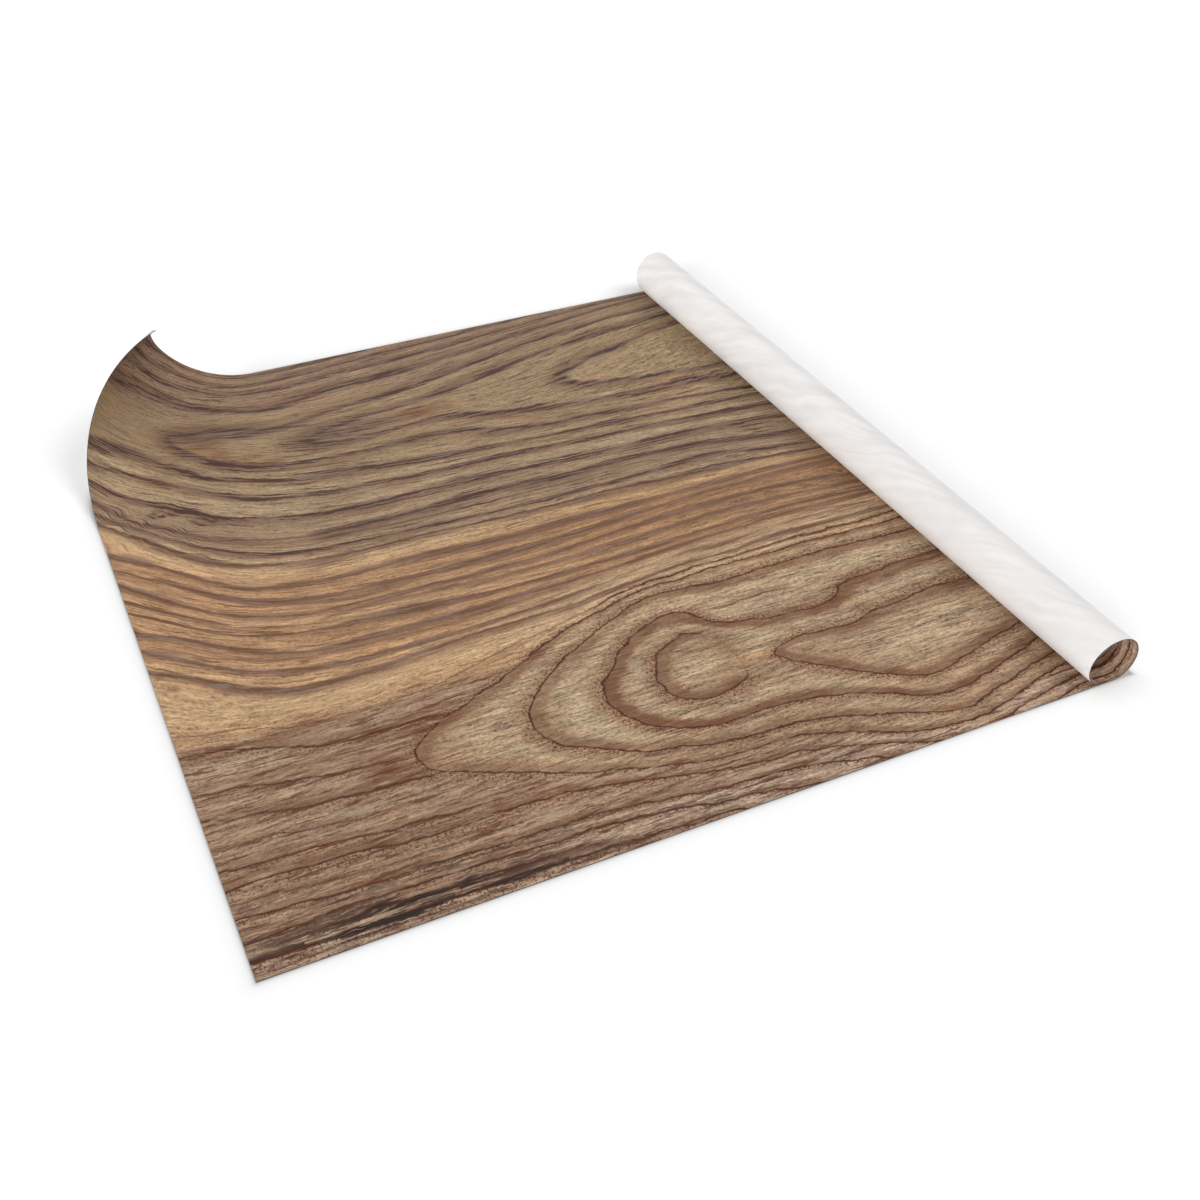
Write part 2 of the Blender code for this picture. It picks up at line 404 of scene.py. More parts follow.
class Tree:
    """A node tree, with one method that adds any node to it."""

    def __init__(self, tree):
        self.tree = tree

    def node(self, kind, settings=None, inputs=None):
        added = self.tree.nodes.new(kind)
        for name, setting in (settings or {}).items():
            if name == "stops":
                set_stops(added.color_ramp, setting)
            else:
                setattr(added, name, setting)
        for name, given in (inputs or {}).items():
            if isinstance(given, Value):
                self.tree.links.new(given.socket, added.inputs[name])
            else:
                added.inputs[name].default_value = given
        return Made(self, added)

    def number(self, operation, *values):
        settings = {"operation": operation}
        return self.node("ShaderNodeMath", settings, dict(enumerate(values))).value()


def set_stops(ramp, stops):
    """Gives a colour ramp these places and colours."""
    while len(ramp.elements) > 1:
        ramp.elements.remove(ramp.elements[-1])
    ramp.elements[0].position = stops[0][0]
    for stop in stops[1:]:
        ramp.elements.new(stop[0])
    for element, stop in zip(ramp.elements, stops):
        element.color = stop[1]


def colour(red, green, blue):
    """A colour given as a screen shows it, from 0 to 255."""
    def light(part):
        share = part / 255
        return share / 12.92 if share <= 0.04045 else ((share + 0.055) / 1.055) ** 2.4

    return (light(red), light(green), light(blue), 1.0)


class Arc(NamedTuple):
    """One arc of the roll's section, from a distance along the sheet and a turn made there.

    The centre and the radius are those of the sheet's outer face.
    """

    start: float
    turn: float
    centre: Vector
    radius: float


class Section(NamedTuple):
    """The roll's section at one end, with the distance along the sheet of its free edge."""

    arcs: list
    end: float


def outwards(turn):
    return Vector((math.sin(turn), 0.0, -math.cos(turn)))


def next_arc(arc, stretch, radius):
    turn = arc.turn + stretch / (arc.radius - NEUTRAL_DEPTH)
    centre = arc.centre + (arc.radius - radius) * outwards(turn)
    return Arc(arc.start + stretch, turn, centre, radius)


def section_from(lift_off, rise_radius, top_radius, landing_slope):
    rise = Arc(lift_off, 0.0, Vector((lift_off, 0.0, rise_radius)), rise_radius)
    top = next_arc(rise, RISE_STRETCH, top_radius)
    top_end_turn = top.turn + TOP_STRETCH / (top_radius - NEUTRAL_DEPTH)
    drop = top.centre.z + top_radius * outwards(top_end_turn).z - FREE_EDGE_HEIGHT
    fall_radius = drop / (math.cos(landing_slope) + outwards(top_end_turn).z)
    fall = next_arc(top, TOP_STRETCH, fall_radius)
    fall_turn = math.tau - landing_slope - fall.turn
    return Section([rise, top, fall], fall.start + fall_turn * (fall_radius - NEUTRAL_DEPTH))


FRONT_SIZES = (FRONT_RISE_RADIUS, FRONT_TOP_RADIUS, FRONT_LANDING_SLOPE)
BACK_SIZES = (BACK_RISE_RADIUS, BACK_TOP_RADIUS, BACK_LANDING_SLOPE)
FRONT_SECTION = section_from(FRONT_LIFT_OFF, *FRONT_SIZES)
SHEET_LENGTH = FRONT_SECTION.end
BACK_LIFT_OFF = SHEET_LENGTH - section_from(0.0, *BACK_SIZES).end
BACK_SECTION = section_from(BACK_LIFT_OFF, *BACK_SIZES)
BOX_LENGTH = FRONT_LIFT_OFF + FRONT_RISE_RADIUS


def rolled(along, height, section):
    """X and Z, in one section of the roll, of a height over this distance along the sheet."""
    arcs = section.arcs
    rise = arcs[0]
    ends = [arc.start for arc in arcs[1:]] + [section.end]
    turn = 0.0
    radius = rise.radius - height
    x = along.at_most(rise.start)
    z = rise.centre.z
    for arc, end in zip(arcs, ends):
        past = (along - arc.start).at_least(0.0)
        turn = past.at_most(end - arc.start) / (arc.radius - NEUTRAL_DEPTH) + turn
    for before, arc in zip(arcs, arcs[1:]):
        reached = along.math("GREATER_THAN", arc.start)
        radius = radius + reached * (arc.radius - before.radius)
        x = x + reached * (arc.centre.x - before.centre.x)
        z = reached * (arc.centre.z - before.centre.z) + z
    return x + radius * turn.math("SINE"), z - radius * turn.math("COSINE")


# What a layer of the sheet is made from
LAYER_INPUTS = {
    "Underside height": "NodeSocketFloat",
    "Topside height": "NodeSocketFloat",
    "Rows": "NodeSocketInt",
    "Finish": "NodeSocketMaterial",
}


def sheet_tree():
    """Geometry nodes that make one layer of the sheet flat, and then roll and curl it."""
    group = bpy.data.node_groups.new("bent_layer", "GeometryNodeTree")
    for name, kind in LAYER_INPUTS.items():
        group.interface.new_socket(name, in_out="INPUT", socket_type=kind)
    group.interface.new_socket("Layer", in_out="OUTPUT", socket_type="NodeSocketGeometry")
    tree = Tree(group)
    given = tree.node("NodeGroupInput")

    columns = LYING_CELLS + ROLLED_CELLS + 1
    rows = given.value("Rows") + 1
    vertices = {"Vertices X": columns, "Vertices Y": rows, "Vertices Z": 2}
    blank = tree.node("GeometryNodeMeshCube", {}, vertices)
    place = tree.node("GeometryNodeInputPosition").value()
    share, share_across, share_up = (part + 0.5 for part in parts(place))

    lying_share = LYING_CELLS / (LYING_CELLS + ROLLED_CELLS)
    rolled_length = SHEET_LENGTH - BACK_LIFT_OFF
    lying = share.at_most(lying_share) * (BACK_LIFT_OFF / lying_share)
    past = (share - lying_share).at_least(0.0) * (rolled_length / (1 - lying_share))
    along = lying + past
    across = share_across * SHEET_WIDTH
    underside = given.value("Underside height")
    height = underside + share_up * (given.value("Topside height") - underside)

    flat = tree.node("ShaderNodeCombineXYZ", {}, {0: along, 1: across, 2: height}).value()
    marked = tree.node(
        "GeometryNodeStoreNamedAttribute",
        {"data_type": "FLOAT_VECTOR", "domain": "POINT"},
        {"Geometry": blank.value("Mesh"), "Name": "flat_place", "Value": flat},
    )

    front_x, front_z = rolled(along, height, FRONT_SECTION)
    back_x, back_z = rolled(along, height, BACK_SECTION)
    rolled_x = front_x + (back_x - front_x) * share_across
    rolled_z = front_z + (back_z - front_z) * share_across

    from_line = along * CURL_ACROSS.x + (across - CURL_START.y) * CURL_ACROSS.y
    beyond = from_line.at_least(0.0)
    curl_angle = beyond / (CURL_RADIUS - NEUTRAL_DEPTH)
    curl_radius = CURL_RADIUS - height
    drawn_in = curl_radius * curl_angle.math("SINE") - beyond
    lifted = CURL_RADIUS - curl_radius * curl_angle.math("COSINE") - height

    bent_x = rolled_x + drawn_in * CURL_ACROSS.x - BOX_LENGTH / 2
    bent_y = across + drawn_in * CURL_ACROSS.y - SHEET_WIDTH / 2
    bent = {0: bent_x, 1: bent_y, 2: rolled_z + lifted}
    bent_place = tree.node("ShaderNodeCombineXYZ", {}, bent).value()
    moves = {"Geometry": marked.value("Geometry"), "Position": bent_place}
    moved = tree.node("GeometryNodeSetPosition", {}, moves)
    real = tree.node("GeometryNodeRealizeInstances", {}, {0: moved.value()})
    dressing = {"Geometry": real.value(), "Material": given.value("Finish")}
    finished = tree.node("GeometryNodeSetMaterial", {}, dressing)
    tree.node("NodeGroupOutput", {}, {"Layer": finished.value()})
    return group


def in_scene(name, data):
    """A new object in the scene, made of this mesh, lamp or camera."""
    made = bpy.data.objects.new(name, data)
    bpy.context.scene.collection.objects.link(made)
    return made


def layer(tree, name, underside, topside, rows, finish):
    """One layer of the sheet as a plain mesh."""
    start = in_scene(name + "_start", bpy.data.meshes.new(name + "_start"))
    modifier = start.modifiers.new("bent_layer", "NODES")
    modifier.node_group = tree
    sockets = {item.name: item.identifier for item in tree.interface.items_tree}
    for socket, value in zip(LAYER_INPUTS, (underside, topside, rows, finish)):
        modifier[sockets[socket]] = value
    depsgraph = bpy.context.evaluated_depsgraph_get()
    mesh = bpy.data.meshes.new_from_object(start.evaluated_get(depsgraph))
    start.modifiers.remove(modifier)
    bpy.data.objects.remove(start)
    mesh.name = name
    mesh.shade_smooth()
    mesh.set_sharp_from_angle(angle=SHARP_TURN)
    return in_scene(name, mesh)


# Smooth level through the rings: how much shorter a distance along the grain counts than
# one across, how far apart the points on a ring and on a grain line are, how often a line
# is softened, and how loosely the level passes the points
ALONG_SQUEEZE = 0.45
RING_STEP = 0.005
GRAIN_STEP = 4 * RING_STEP
SOFTENINGS = 2
LOOSENESS = 2e-7

# Darkest that a ring gets, least levels a metre where the rings are furthest apart, how
# far along the sheet the figure was read, and how many places are worked out at once
DARKEST = 1.2
LEAST_SLOPE = 4.0
LAST_READ_PLACE = 0.525
EVALUATED_AT_ONCE = 4000


def plate_terms(squared):
    """Height of a thin plate at a squared distance from where it is pushed up."""
    return 0.5 * squared * np.log(np.maximum(squared, 1e-12))


def squared_distances(places, others):
    return ((places[:, None] - others[None]) ** 2).sum(-1)


def smooth_through(places, values):
    """A function that gives smooth values at any places, through these at these places."""
    squeeze = np.array((ALONG_SQUEEZE, 1.0))
    known = places * squeeze
    count = len(known)
    flat = np.column_stack((np.ones(count), known))
    system = np.zeros((count + 3, count + 3))
    system[:count, :count] = plate_terms(squared_distances(known, known))
    system[:count, :count] += np.eye(count) * LOOSENESS
    system[:count, count:] = flat
    system[count:, :count] = flat.T
    weights = np.linalg.solve(system, np.vstack((values, np.zeros((3, values.shape[1])))))

    def evaluate(asked):
        found = []
        for start in range(0, len(asked), EVALUATED_AT_ONCE):
            some = asked[start:start + EVALUATED_AT_ONCE] * squeeze
            terms = plate_terms(squared_distances(some, known))
            tilt = np.column_stack((np.ones(len(some)), some))
            found.append(terms @ weights[:count] + tilt @ weights[count:])
        return np.vstack(found)

    return evaluate


def on_sheet(points):
    """Places on the flat sheet, in metres, of points read in half millimetres."""
    points = np.array(points, float)[:, :2] * HALF_MM
    return np.column_stack((points[:, 0], SHEET_WIDTH - points[:, 1]))


def along_line(line, step):
    """Places at even steps along a line that bends softly past these places."""
    stretched = line * (ALONG_SQUEEZE, 1.0)
    lengths = np.hypot(*np.diff(stretched, axis=0).T)
    reached = np.concatenate(([0.0], np.cumsum(lengths)))
    count = max(2, int(reached[-1] / step) + 1)
    steps = np.linspace(0.0, reached[-1], count)
    places = np.column_stack([np.interp(steps, reached, line[:, axis]) for axis in (0, 1)])
    for _ in range(SOFTENINGS):
        places[1:-1] = (places[:-2] + 2 * places[1:-1] + places[2:]) / 4
    return places


def as_read(places):
    """The places whose figure shows at these: in the roll, it goes straight on."""
    return np.column_stack((np.minimum(places[:, 0], LAST_READ_PLACE), places[:, 1]))


def ring_marks(places):
    """Ring level and darkness at each place."""
    known, values = [], []
    for level, dark, points in RINGS:
        line = along_line(on_sheet(points), RING_STEP)
        known.append(line)
        values += [(level, dark)] * len(line)
    known.append(on_sheet(CLEAR_PLACES))
    values += [(place[2], 0.0) for place in CLEAR_PLACES]
    evaluate = smooth_through(np.vstack(known), np.array(values, float))
    level, dark = evaluate(as_read(places)).T
    return level, np.clip(dark, 0.0, DARKEST)


def level_slopes(level, shape, along, across):
    """How fast the level changes, per metre, over a grid of places."""
    grid = level.reshape(shape)
    slope_along, slope_across = np.gradient(grid, along, across)
    return np.hypot(slope_along, slope_across).ravel()


# A place keeps its distance past the nearest short line, up to this reach, less a step
# for each line before that one, so that one number tells both
LINE_REACH = 0.02
LINE_APART = 0.1


def short_line_marks(places):
    """Distance past the nearest short line, with its number, and its darkness and width."""
    along, across = places.T
    past, dark = [], []
    for width, points in SHORT_LINES:
        line = on_sheet(points)
        past.append(across - np.interp(along, line[:, 0], line[:, 1]))
        strengths = [point[2] for point in points]
        dark.append(np.interp(along, line[:, 0], strengths))
    past = np.array(past)
    nearest = np.abs(past).argmin(0)
    every = np.arange(len(places))
    distance = np.clip(past[nearest, every], -LINE_REACH, LINE_REACH)
    widths = np.array([width for width, points in SHORT_LINES])
    return distance - LINE_APART * nearest, np.array(dark)[nearest, every], widths[nearest]


def grain_height(places):
    """How far across the sheet the grain line at each place runs, where it is told."""
    known, heights = [], []
    for level, _, points in RINGS:
        (start, row), (end, _) = points[0], points[-1]
        from_cut_end = start == 0 and end >= GRAIN_COLUMN
        if level not in GRAIN_LEVELS or not from_cut_end or row > GRAIN_RINGS_END:
            continue
        told_at = (GRAIN_COLUMN, np.interp(GRAIN_COLUMN, *np.transpose(points)))
        line = along_line(on_sheet(points), GRAIN_STEP)
        known.append(line)
        heights += [on_sheet([told_at])[0, 1]] * len(line)
    straight = [(x, y) for columns, rows in STRAIGHT_GRAIN for x in columns for y in rows]
    known.append(on_sheet(straight))
    heights += list(known[-1][:, 1])
    evaluate = smooth_through(np.vstack(known), np.array(heights)[:, None])
    return evaluate(as_read(places))[:, 0]


def patch_marks(places, patches):
    """How strong these soft patches are, all together, at each place."""
    marks = np.zeros(len(places))
    for x, y, half_length, half_width, amount in patches:
        centre = on_sheet([(x, y)])[0]
        reach = (half_length * HALF_MM, half_width * HALF_MM)
        marks += amount * np.exp(-(((places - centre) / reach) ** 2).sum(1))
    return marks


def keep_marks(mesh, name, columns):
    """Stores three numbers a vertex under this name."""
    stored = mesh.attributes.new(name, "FLOAT_VECTOR", "POINT")
    stored.data.foreach_set("vector", np.column_stack(columns).astype(np.float32).ravel())


def read_all(items, name, numbers):
    """Reads this property of all of these parts of a mesh into an array of numbers."""
    items.foreach_get(name, numbers)
    return numbers


def flat_places(mesh):
    places = np.empty(len(mesh.vertices) * 3, np.float32)
    read_all(mesh.attributes["flat_place"].data, "vector", places)
    return places.reshape(-1, 3).astype(float)


def mark_figure(mesh):
    """Stores the wood's figure on the leaf."""
    flat = flat_places(mesh).round(7)
    along, along_at = np.unique(flat[:, 0], return_inverse=True)
    across, across_at = np.unique(flat[:, 1], return_inverse=True)
    places = np.stack(np.meshgrid(along, across, indexing="ij"), -1).reshape(-1, 2)
    at = along_at * len(across) + across_at
    level, dark = ring_marks(places)
    slope = level_slopes(level, (len(along), len(across)), along, across)
    gap = 1 / np.maximum(slope, LEAST_SLOPE)
    line_place, line_dark, line_width = short_line_marks(places)
    keep_marks(mesh, "growth_ring", (level[at], gap[at], dark[at]))
    keep_marks(mesh, "short_line", (line_place[at], line_dark[at], line_width[at]))
    grain = (grain_height(places), patch_marks(places, PATCHES), patch_marks(places, STREAKED))
    keep_marks(mesh, "grain", [column[at] for column in grain])


# Map of a layer's faces: the share that the top takes, where the rows of the underside,
# the two ends and the two sides start, and how wide a row is. The second end and the
# second side are a step above the first.
TOP_SHARE = 0.96
UNDERSIDE_ROW = 0.962
UNDERSIDE_ROW_WIDTH = 0.012
END_ROWS = 0.976
SIDE_ROWS = 0.988
RIM_ROW_WIDTH = 0.004
RIM_ROW_STEP = 0.006

# Spread below which a face is taken to be level or upright
FLAT_WITHIN = 1e-6


def unfold(mesh, topside):
    """Lays the faces out side by side as a map, and marks those of the cut edges."""
    by_face = np.empty((2, len(mesh.polygons)), np.int32)
    face_sizes = read_all(mesh.polygons, "loop_total", by_face[0])
    starts = read_all(mesh.polygons, "loop_start", by_face[1])
    by_corner = np.empty(len(mesh.loops), np.int32)
    corners = flat_places(mesh)[read_all(mesh.loops, "vertex_index", by_corner)]
    least = np.minimum.reduceat(corners, starts)
    most = np.maximum.reduceat(corners, starts)
    spread = np.repeat(most - least, face_sizes, axis=0)
    height = np.repeat(least[:, 2], face_sizes)
    along = corners[:, 0] / SHEET_LENGTH
    across = corners[:, 1] / SHEET_WIDTH
    up = (corners[:, 2] - corners[:, 2].min()) / np.ptp(corners[:, 2])
    is_level = spread[:, 2] < FLAT_WITHIN
    beneath = is_level & (height <= topside - FLAT_WITHIN)
    on_end = ~is_level & (spread[:, 0] < FLAT_WITHIN)
    on_side = ~is_level & (spread[:, 1] < FLAT_WITHIN)
    place = np.column_stack((along, across * TOP_SHARE))
    place[beneath, 1] = UNDERSIDE_ROW + UNDERSIDE_ROW_WIDTH * across[beneath]
    rims = ((on_end, END_ROWS, across, along), (on_side, SIDE_ROWS, along, across))
    for rim, start, lengthwise, from_first in rims:
        place[rim, 0] = lengthwise[rim]
        place[rim, 1] = start + RIM_ROW_WIDTH * up[rim] + RIM_ROW_STEP * from_first[rim]
    unfolded = mesh.uv_layers.new(name="OFBake")
    unfolded.uv.foreach_set("vector", place.astype(np.float32).ravel())
    is_cut = (most - least)[:, 2] >= FLAT_WITHIN
    cut = mesh.attributes.new("cut_edge", "FLOAT", "FACE")
    cut.data.foreach_set("value", is_cut.astype(np.float32))


def new_finish(name):
    """A new material, as its tree and its shader."""
    material = bpy.data.materials.new(name)
    material.use_nodes = True
    return material, Tree(material.node_tree), material.node_tree.nodes["Principled BSDF"]


def parts(vector):
    """The three numbers of a vector."""
    split = vector.tree.node("ShaderNodeSeparateXYZ", {}, {0: vector})
    return [split.value(axis) for axis in "XYZ"]


def kept(tree, name, output="Vector"):
    """What the layer keeps under this name."""
    return tree.node("ShaderNodeAttribute", {"attribute_name": name}).value(output)


def feed(shader, name, value):
    """Links a value to this input of a shader."""
    value.tree.tree.links.new(value.socket, shader.inputs[name])


RELIEF_HEIGHT = 0.0002


def dress(shader, tone, rough, relief, relief_strength, gloss):
    """Gives a shader its colour, its roughness, its fine relief and its gloss."""
    bump = {"Strength": relief_strength, "Distance": RELIEF_HEIGHT, "Height": relief}
    feed(shader, "Base Color", tone)
    feed(shader, "Roughness", rough)
    feed(shader, "Normal", relief.tree.node("ShaderNodeBump", {}, bump).value())
    shader.inputs["Specular IOR Level"].default_value = gloss


def smooth(value, start, end):
    """Goes smoothly from 0 at the start to 1 at the end."""
    inputs = {"Value": value, "From Min": start, "From Max": end}
    settings = {"interpolation_type": "SMOOTHSTEP"}
    return value.tree.node("ShaderNodeMapRange", settings, inputs).value()


def within(value, zone):
    """Is 1 in a zone, told by where it starts and is whole, and where it wanes and ends."""
    start, whole, wanes, end = zone
    return smooth(value, start, whole) * smooth(value, end, wanes)


def hump(value, half_width):
    """Is 1 where the value is 0, and falls off on both sides."""
    share = value / half_width
    return (-(share * share)).math("EXPONENT")


def mixed(share, first, second):
    """A colour that goes from the first to the second with this share."""
    settings = {"data_type": "RGBA", "clamp_factor": True}
    inputs = {0: share, 6: first, 7: second}
    return share.tree.node("ShaderNodeMix", settings, inputs).value(2)


def scaled(tone, amount):
    settings = {"operation": "SCALE"}
    made = amount.tree.node("ShaderNodeVectorMath", settings, {0: tone, "Scale": amount})
    return made.value()


# Spread of Blender's noise with this many finer layers in it
NOISE_SPREADS = (0.125, 0.089, 0.078, 0.068)


def noise_at(x, y, seed, layers=2, roughness=0.6):
    """Noise around 0 with a spread of about 1, of one cell a unit of X and of Y."""
    tree = x.tree
    place = tree.node("ShaderNodeCombineXYZ", {}, {0: x, 1: y, 2: seed}).value()
    inputs = {"Vector": place, "Scale": 1.0, "Detail": float(layers), "Roughness": roughness}
    noise = tree.node("ShaderNodeTexNoise", {"noise_dimensions": "3D"}, inputs).value()
    return (noise - 0.5) / NOISE_SPREADS[layers]


# Tones of the clear wood, and how they follow each other from the back to the front.
# Each place is across the middle of the sheet, in half millimetres from the back edge.
DULL_BROWN = colour(144, 119, 95)
GREY_BEIGE = colour(152, 129, 99)
PALE_BEIGE = colour(165, 142, 112)
FAWN = colour(151, 127, 101)
GOLD = colour(186, 155, 118)
LIGHT_TAN = colour(177, 142, 106)
TAN = colour(167, 130, 96)
FRONT_BROWN = colour(154, 126, 103)
EDGE_BROWN = colour(174, 148, 126)
GROUND = (
    (0, DULL_BROWN), (110, DULL_BROWN), (160, GREY_BEIGE), (360, GREY_BEIGE),
    (435, PALE_BEIGE), (475, FAWN), (560, FAWN), (592, GOLD), (612, LIGHT_TAN), (635, TAN),
    (690, TAN), (715, LIGHT_TAN), (745, TAN), (770, TAN), (800, LIGHT_TAN), (835, GOLD),
    (862, LIGHT_TAN), (888, FRONT_BROWN), (1160, FRONT_BROWN), (1185, EDGE_BROWN),
)
KNOT_GROUND = colour(158, 129, 101)
BEIGE = colour(179, 149, 117)
CREAM = colour(183, 163, 133)
BACK_LINE = colour(71, 49, 41)
BACK_GREY = colour(126, 107, 97)
BACK_HAZE = colour(116, 84, 65)
GOLD_LINE = colour(106, 74, 51)
FRONT_LINE = colour(72, 35, 18)
NEAR_BLACK = colour(38, 28, 24)
STREAK_BROWN = colour(68, 48, 39)
RED_BROWN = colour(114, 76, 54)
ORANGE_BROWN = colour(118, 74, 42)
TAWNY = colour(152, 106, 68)
PORE = colour(92, 50, 28)
# Cut edges of the leaf: the end grain's own darker brown, darkened further as painted shade
CUT_WOOD_AND_SHADE = colour(66, 50, 40)

# Levels and metres from the front edge over which the back part gives way to the front
# part, and levels over which the ground becomes the knot's
FRONT_LEVELS = (6.6, 6.2)
FRONT_EDGE_PART = (0.12, 0.09)
KNOT_LEVELS = (5.15, 4.9)

# Bands along the grain: where each starts and is whole, and where it wanes and ends
GOLDEN_BAND = (0.160, 0.180, 0.315, 0.330)
BEIGE_BAND = (0.163, 0.180, 0.222, 0.240)

# Half widths of a soft ring's band and of a sharp ring's line, and how far the brown goes
# inside a sharp one
LEAST_BAND = 0.0017
MOST_BAND = 0.0036
RING_LINE = 0.0007
LEAST_REACH = 0.0025
MOST_REACH = 0.0120


class Figure(NamedTuple):
    """What the wood's lines are drawn with, at one place of the leaf."""

    fibre: Value
    fine: Value
    specks: Value
    front: Value


def front_share(distance, width, dark, brown, reach, figure):
    """Shares of the dark line, the brown inside it and the pores outside, near the knot.

    The distance is from the line, and less than nothing on the inside. The brown goes as
    far inside as the reach, and the pores go about as far outside.
    """
    inside = smooth(distance, 0.0005, -0.0003)
    inner = smooth(distance / reach + figure.fibre * 0.07, -1.0, -0.5) * inside
    outer = smooth(distance / reach, 1.15, 0.0) * (1 - inside)
    line = hump(distance, width) * (1.05 + figure.fine * 0.2)
    uneven = (0.9 + figure.fibre * 0.16 + figure.fine * 0.14).at_least(0.0)
    bound = 1.9 - outer * 1.6
    pores = smooth(figure.specks - bound, 0.0, 0.6) * smooth(outer, 0.0, 0.25)
    shown = dark * figure.front
    return line * shown, (inner * uneven * brown + outer * 0.3) * shown, pores * shown


def wood_finish():
    """Open-pored brown wood whose rings follow the marks on the leaf."""
    material, tree, shader = new_finish("wood_face")
    along, across = parts(kept(tree, "flat_place"))[:2]
    level, gap, dark = parts(kept(tree, "growth_ring"))
    line_place, line_dark, line_width = parts(kept(tree, "short_line"))
    grain, patch, streaked = parts(kept(tree, "grain"))
    dark = (dark * 1.5).at_most(1.15)
    line_shown = line_dark.at_most(1.0)

    # Front part: the knot and what is in front of it, drawn sharper
    front = smooth(level, *FRONT_LEVELS).at_least(smooth(across, *FRONT_EDGE_PART))
    behind_front = 1 - front
    golden = within(grain, GOLDEN_BAND)
    golden_left = golden * smooth(along, 0.20, 0.05) * smooth(grain, 0.195, 0.215)
    golden_right = golden * smooth(along, 0.20, 0.35) * smooth(grain, 0.215, 0.235)

    # Fibres along the grain, waved a little, and grain without direction
    wave = noise_at(along * 90, grain * 90, 11.0, 2, 0.7) * 0.00028
    waved = grain + wave
    fibre = noise_at(along * 30, waved * 380, 2.0, 3, 0.75)
    fine = noise_at(along * 70, waved * 760, 8.0, 2, 0.7)
    streak = noise_at(along * 8, waved * 110, 3.0, 3)
    beside_ring = noise_at(along * 7, level * 8, 12.0, 3, 0.65) * smooth(gap, 0.030, 0.015)
    cloud = noise_at(along * 9, across * 14, 4.0, 3)
    speck = noise_at(along * 400, waved * 560, 5.0, 1, 0.8)
    specks = noise_at(along * 640, across * 480, 9.0, 1, 0.8)
    figure = Figure(fibre, fine, specks, front)

    wander_back = wave * 0.9 + fibre * 0.0003 + fine * 0.0002
    wander_front = noise_at(along * 170, across * 170, 7.0, 2) * 0.00026
    wander_front = wander_front + noise_at(along * 35, across * 60, 17.0, 1) * 0.0006
    wander = wander_back + front * (wander_front - wander_back)

    # Signed distance from the nearest ring, and the share of the way from ring to ring
    from_ring = (level - level.math("ROUND")) * gap + wander
    rise = (level + wander / gap).math("FRACT")

    # Colour of the ground
    width = SHEET_WIDTH / HALF_MM
    stops = [(1 - at / width, tone) for at, tone in reversed(GROUND)]
    ground = tree.node("ShaderNodeValToRGB", {"stops": stops}, {0: grain / SHEET_WIDTH}).value()
    beige_band = within(grain, BEIGE_BAND) * smooth(along, 0.14, 0.30)
    ground = mixed(beige_band, ground, BEIGE)
    in_knot = smooth(level, *KNOT_LEVELS)
    ground = mixed(in_knot * 0.85, ground, KNOT_GROUND)
    clear = hump(rise - 0.42, 0.22) * in_knot * smooth(gap, 0.010, 0.030)
    ground = mixed(clear * (0.5 + fibre * 0.12), ground, CREAM)
    ground = mixed((-patch).at_least(0.0) * 0.7, ground, CREAM)
    tawny = smooth(streak, 0.0, 3.0) * smooth(noise_at(along * 14, waved * 70, 13.0), -1.2, 2.4)
    ground = mixed(tawny * 0.5 + golden_right * 0.25, ground, TAWNY)

    # How light the ground is: darker towards the roll, as painted shade of the
    # roll, most in one band, at the curled corner, as painted shade inside the curl,
    # and along the front edge
    calm = smooth(gap, 0.016, 0.040) * behind_front
    # Painted shade of the roll over the wood, growing towards the roll
    painted_roll_shade = smooth(along, 0.15, 0.42) * behind_front
    dull_band = smooth(along, 0.25, 0.42) * hump(grain - 0.264, 0.022)
    # Painted shade inside the curled corner
    painted_curl_shade = smooth(across * 0.8 - along, 0.30, 0.44)
    past_ring = smooth(rise, 0.5, 0.05) * 0.10 - smooth(rise, 0.5, 0.95) * 0.05
    tone = 1.06 + fibre * (0.11 + front * 0.04 - calm * 0.05) + fine * 0.16
    tone = tone + streak * (0.05 + front * 0.03 - calm * 0.02) + cloud * 0.015
    tone = tone + beside_ring * 0.05 + speck * (0.09 + front * 0.05)
    tone = tone - painted_roll_shade * 0.06 + golden_left * 0.10 - front * 0.02
    tone = tone - dull_band * 0.12 - painted_curl_shade * 0.14
    tone = tone - smooth(across, 0.010, 0.002) * 0.12 + beige_band * 0.05
    ground = scaled(ground, tone + past_ring * behind_front)

    # Patches of browner wood, broken up by the fibres
    thin_streaks = noise_at(along * 32, waved * 340, 16.0, 2, 0.7)
    browner = patch.at_least(0.0) * (0.8 + fibre * 0.2 + thin_streaks * front * 0.3)
    ground = mixed(browner, ground, mixed(front, ORANGE_BROWN, RED_BROWN))

